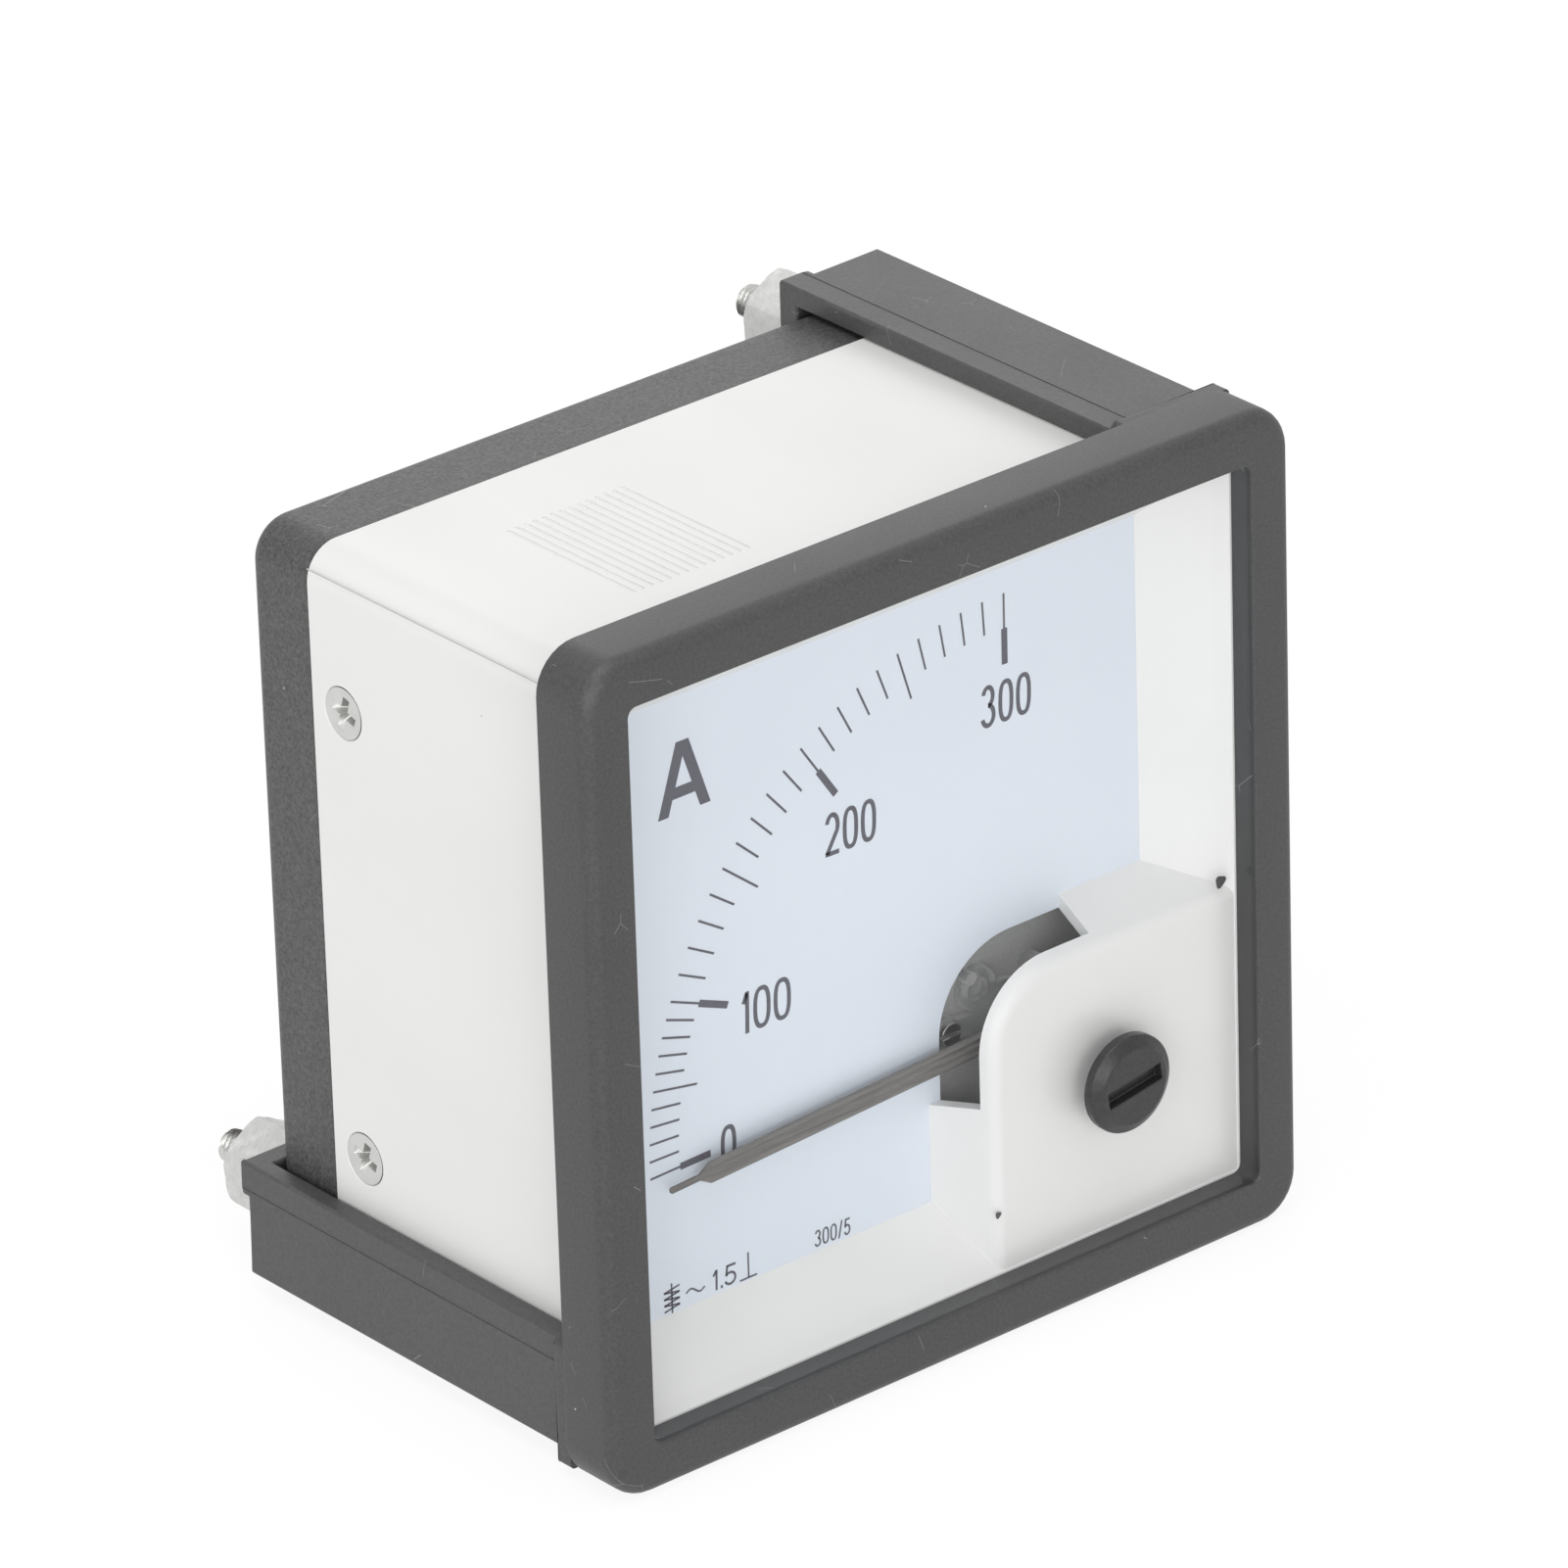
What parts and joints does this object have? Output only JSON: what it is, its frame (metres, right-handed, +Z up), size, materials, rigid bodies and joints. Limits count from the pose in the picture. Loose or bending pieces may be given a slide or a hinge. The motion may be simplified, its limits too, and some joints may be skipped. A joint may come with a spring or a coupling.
{
  "type": "analog panel meter",
  "caption": "Square flush panel ammeter with a quarter-circle dial, pointer, zero adjuster, white case, black bezel, rear cover and corner clamp rails.",
  "frame": {"origin": "centre of the panel cut-out, in the plane of the bezel's rear face where it meets the panel", "axes": "+X to the right seen from the front, +Y through the panel to the rear, +Z up"},
  "size_m": [0.072, 0.0601, 0.072],
  "materials": {
    "black_abs": "moulded black ABS, fine satin",
    "black_nylon": "moulded black nylon, satin",
    "white_abs": "moulded white ABS, satin",
    "clear_acrylic": "clear polished acrylic pane",
    "clear_polycarbonate": "clear moulded polycarbonate",
    "printed_aluminium": "aluminium sheet painted very pale blue with dark grey print",
    "dark_phenolic": "dark grey moulding, matt",
    "natural_nylon": "natural nylon",
    "zinc_plated_steel": "bright zinc plate",
    "die_cast_zinc": "dull as-cast zinc alloy",
    "painted_aluminium": "dark grey painted aluminium",
    "bare_aluminium": "bare rolled foil",
    "spindle_steel": "ground steel",
    "soft_iron": "annealed soft iron",
    "brass": "turned brass",
    "phosphor_bronze": "rolled bronze strip",
    "enamelled_copper": "enamelled copper wire"
  },
  "bodies": {
    "root": {"front_bezel": "black_abs", "window": "clear_acrylic", "dial_mask": "white_abs", "dial_plate": "printed_aluminium", "case_body": "white_abs", "rear_cover": "black_abs", "case_screws": "zinc_plated_steel", "front_bridge": "clear_polycarbonate", "front_jewel_screw": "brass", "rear_jewel_screw": "brass", "damper_box": "dark_phenolic", "damper_lid": "clear_polycarbonate", "lid_screw": "zinc_plated_steel", "front_pillars": "zinc_plated_steel", "rear_pillars": "zinc_plated_steel", "frame_screws": "zinc_plated_steel", "rear_bridge": "dark_phenolic", "coil_former": "natural_nylon", "coil_winding": "enamelled_copper", "fixed_iron": "soft_iron", "coil_lead_left": "enamelled_copper", "coil_lead_right": "enamelled_copper", "terminal_stud_left": "brass", "terminal_stud_right": "brass", "terminal_inner_nuts": "brass", "terminal_lock_nuts": "brass", "clamp_studs": "zinc_plated_steel"},
    "movement": {"pointer": "painted_aluminium", "spindle": "spindle_steel", "moving_iron": "soft_iron", "damper_vane": "bare_aluminium", "balance_weight": "brass"},
    "zero_lever": {"zero_lever": "brass", "hairspring": "phosphor_bronze"},
    "zero_screw": {"zero_screw": "black_nylon"},
    "upper_rail": {"clamp_rail_upper": "black_abs"},
    "upper_nut": {"clamp_nut_upper": "die_cast_zinc"},
    "lower_rail": {"clamp_rail_lower": "black_abs"},
    "lower_nut": {"clamp_nut_lower": "die_cast_zinc"},
    "left_washers": {"flat_washer_left": "zinc_plated_steel", "spring_washer_left": "zinc_plated_steel"},
    "left_nut": {"terminal_nut_left": "brass"},
    "right_washers": {"flat_washer_right": "zinc_plated_steel", "spring_washer_right": "zinc_plated_steel"},
    "right_nut": {"terminal_nut_right": "brass"}
  },
  "joints": [
    {"name": "pointer_swing", "type": "hinge", "parent": "root", "child": "movement", "pos_m": [0.01256, 0.0005, -0.01327], "axis": [0, 1, 0], "range_deg": [-1.5, 93], "stiffness_Nm_per_rad": 0.000009},
    {"name": "zero_screw_turn", "type": "hinge", "parent": "root", "child": "zero_screw", "pos_m": [0.0175, -0.0055, -0.01763], "axis": [0, 1, 0], "range_deg": [-45, 45]},
    {"name": "zero_lever_swing", "type": "hinge", "parent": "root", "child": "zero_lever", "pos_m": [0.01256, -0.0009, -0.01327], "axis": [0, 1, 0], "range_deg": [-7.5, 7.5]},
    {"name": "upper_rail_slide", "type": "slide", "parent": "root", "child": "upper_rail", "axis": [0, 1, 0], "range_m": [0, 0.005]},
    {"name": "upper_nut_turn", "type": "hinge", "parent": "upper_rail", "child": "upper_nut", "pos_m": [0.0285, 0.045, 0.0285], "axis": [0, 1, 0], "range_deg": [0, 3601]},
    {"name": "lower_rail_slide", "type": "slide", "parent": "root", "child": "lower_rail", "axis": [0, 1, 0], "range_m": [0, 0.005]},
    {"name": "lower_nut_turn", "type": "hinge", "parent": "lower_rail", "child": "lower_nut", "pos_m": [-0.0285, 0.045, -0.0285], "axis": [0, 1, 0], "range_deg": [0, 3601]},
    {"name": "left_washer_slide", "type": "slide", "parent": "root", "child": "left_washers", "axis": [0, 1, 0], "range_m": [0, 0.004]},
    {"name": "left_terminal_nut_turn", "type": "hinge", "parent": "left_washers", "child": "left_nut", "pos_m": [-0.016, 0.0466, 0], "axis": [0, 1, 0], "range_deg": [0, 2060]},
    {"name": "right_washer_slide", "type": "slide", "parent": "root", "child": "right_washers", "axis": [0, 1, 0], "range_m": [0, 0.004]},
    {"name": "right_terminal_nut_turn", "type": "hinge", "parent": "right_washers", "child": "right_nut", "pos_m": [0.016, 0.0466, 0], "axis": [0, 1, 0], "range_deg": [0, 2060]}
  ],
  "couplings": [
    {"joint": "zero_lever_swing", "follows": "zero_screw_turn", "ratio": 0.1541},
    {"joint": "upper_nut_turn", "follows": "upper_rail_slide", "rad_per_m": 12566},
    {"joint": "lower_nut_turn", "follows": "lower_rail_slide", "rad_per_m": 12566},
    {"joint": "left_terminal_nut_turn", "follows": "left_washer_slide", "rad_per_m": 8976},
    {"joint": "right_terminal_nut_turn", "follows": "right_washer_slide", "rad_per_m": 8976}
  ]
}
